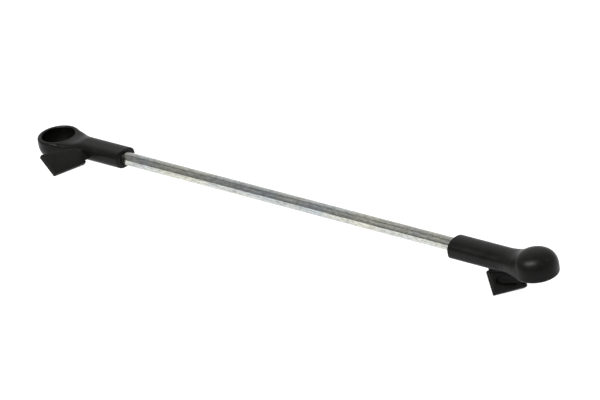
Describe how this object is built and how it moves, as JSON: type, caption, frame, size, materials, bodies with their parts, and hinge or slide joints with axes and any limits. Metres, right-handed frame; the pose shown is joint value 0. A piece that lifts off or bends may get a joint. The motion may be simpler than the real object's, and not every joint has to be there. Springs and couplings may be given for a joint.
{
  "type": "linkage stay rod with ball socket ends",
  "caption": "Plated steel stay rod with a moulded push-fit ball socket and a hinged lock flap on each end.",
  "frame": {"origin": "middle of the part's box, beside the middle of the rod", "axes": "+X along the rod from the left socket to the right one, +Z the way the left socket's mouth opens"},
  "size_m": [0.2942, 0.0406, 0.0272],
  "materials": {
    "plated_steel": "satin",
    "moulded_plastic": "matte"
  },
  "bodies": {
    "link": {"link_rod": "plated_steel", "left_socket_body": "moulded_plastic", "right_socket_body": "moulded_plastic", "left_film_hinge": "moulded_plastic", "right_film_hinge": "moulded_plastic"},
    "left_flap": {"left_lock_flap": "moulded_plastic"},
    "right_flap": {"right_lock_flap": "moulded_plastic"}
  },
  "joints": [
    {"name": "left_flap_hinge", "type": "hinge", "parent": "link", "child": "left_flap", "pos_m": [-0.12193, -0.00006, 0.01073], "axis": [0.7824, -0.1381, -0.6073], "range_deg": [-30, 45]},
    {"name": "right_flap_hinge", "type": "hinge", "parent": "link", "child": "right_flap", "pos_m": [0.11216, 0.00374, -0.0005], "axis": [0.2249, 0.8986, -0.3768], "range_deg": [-18, 45]}
  ]
}
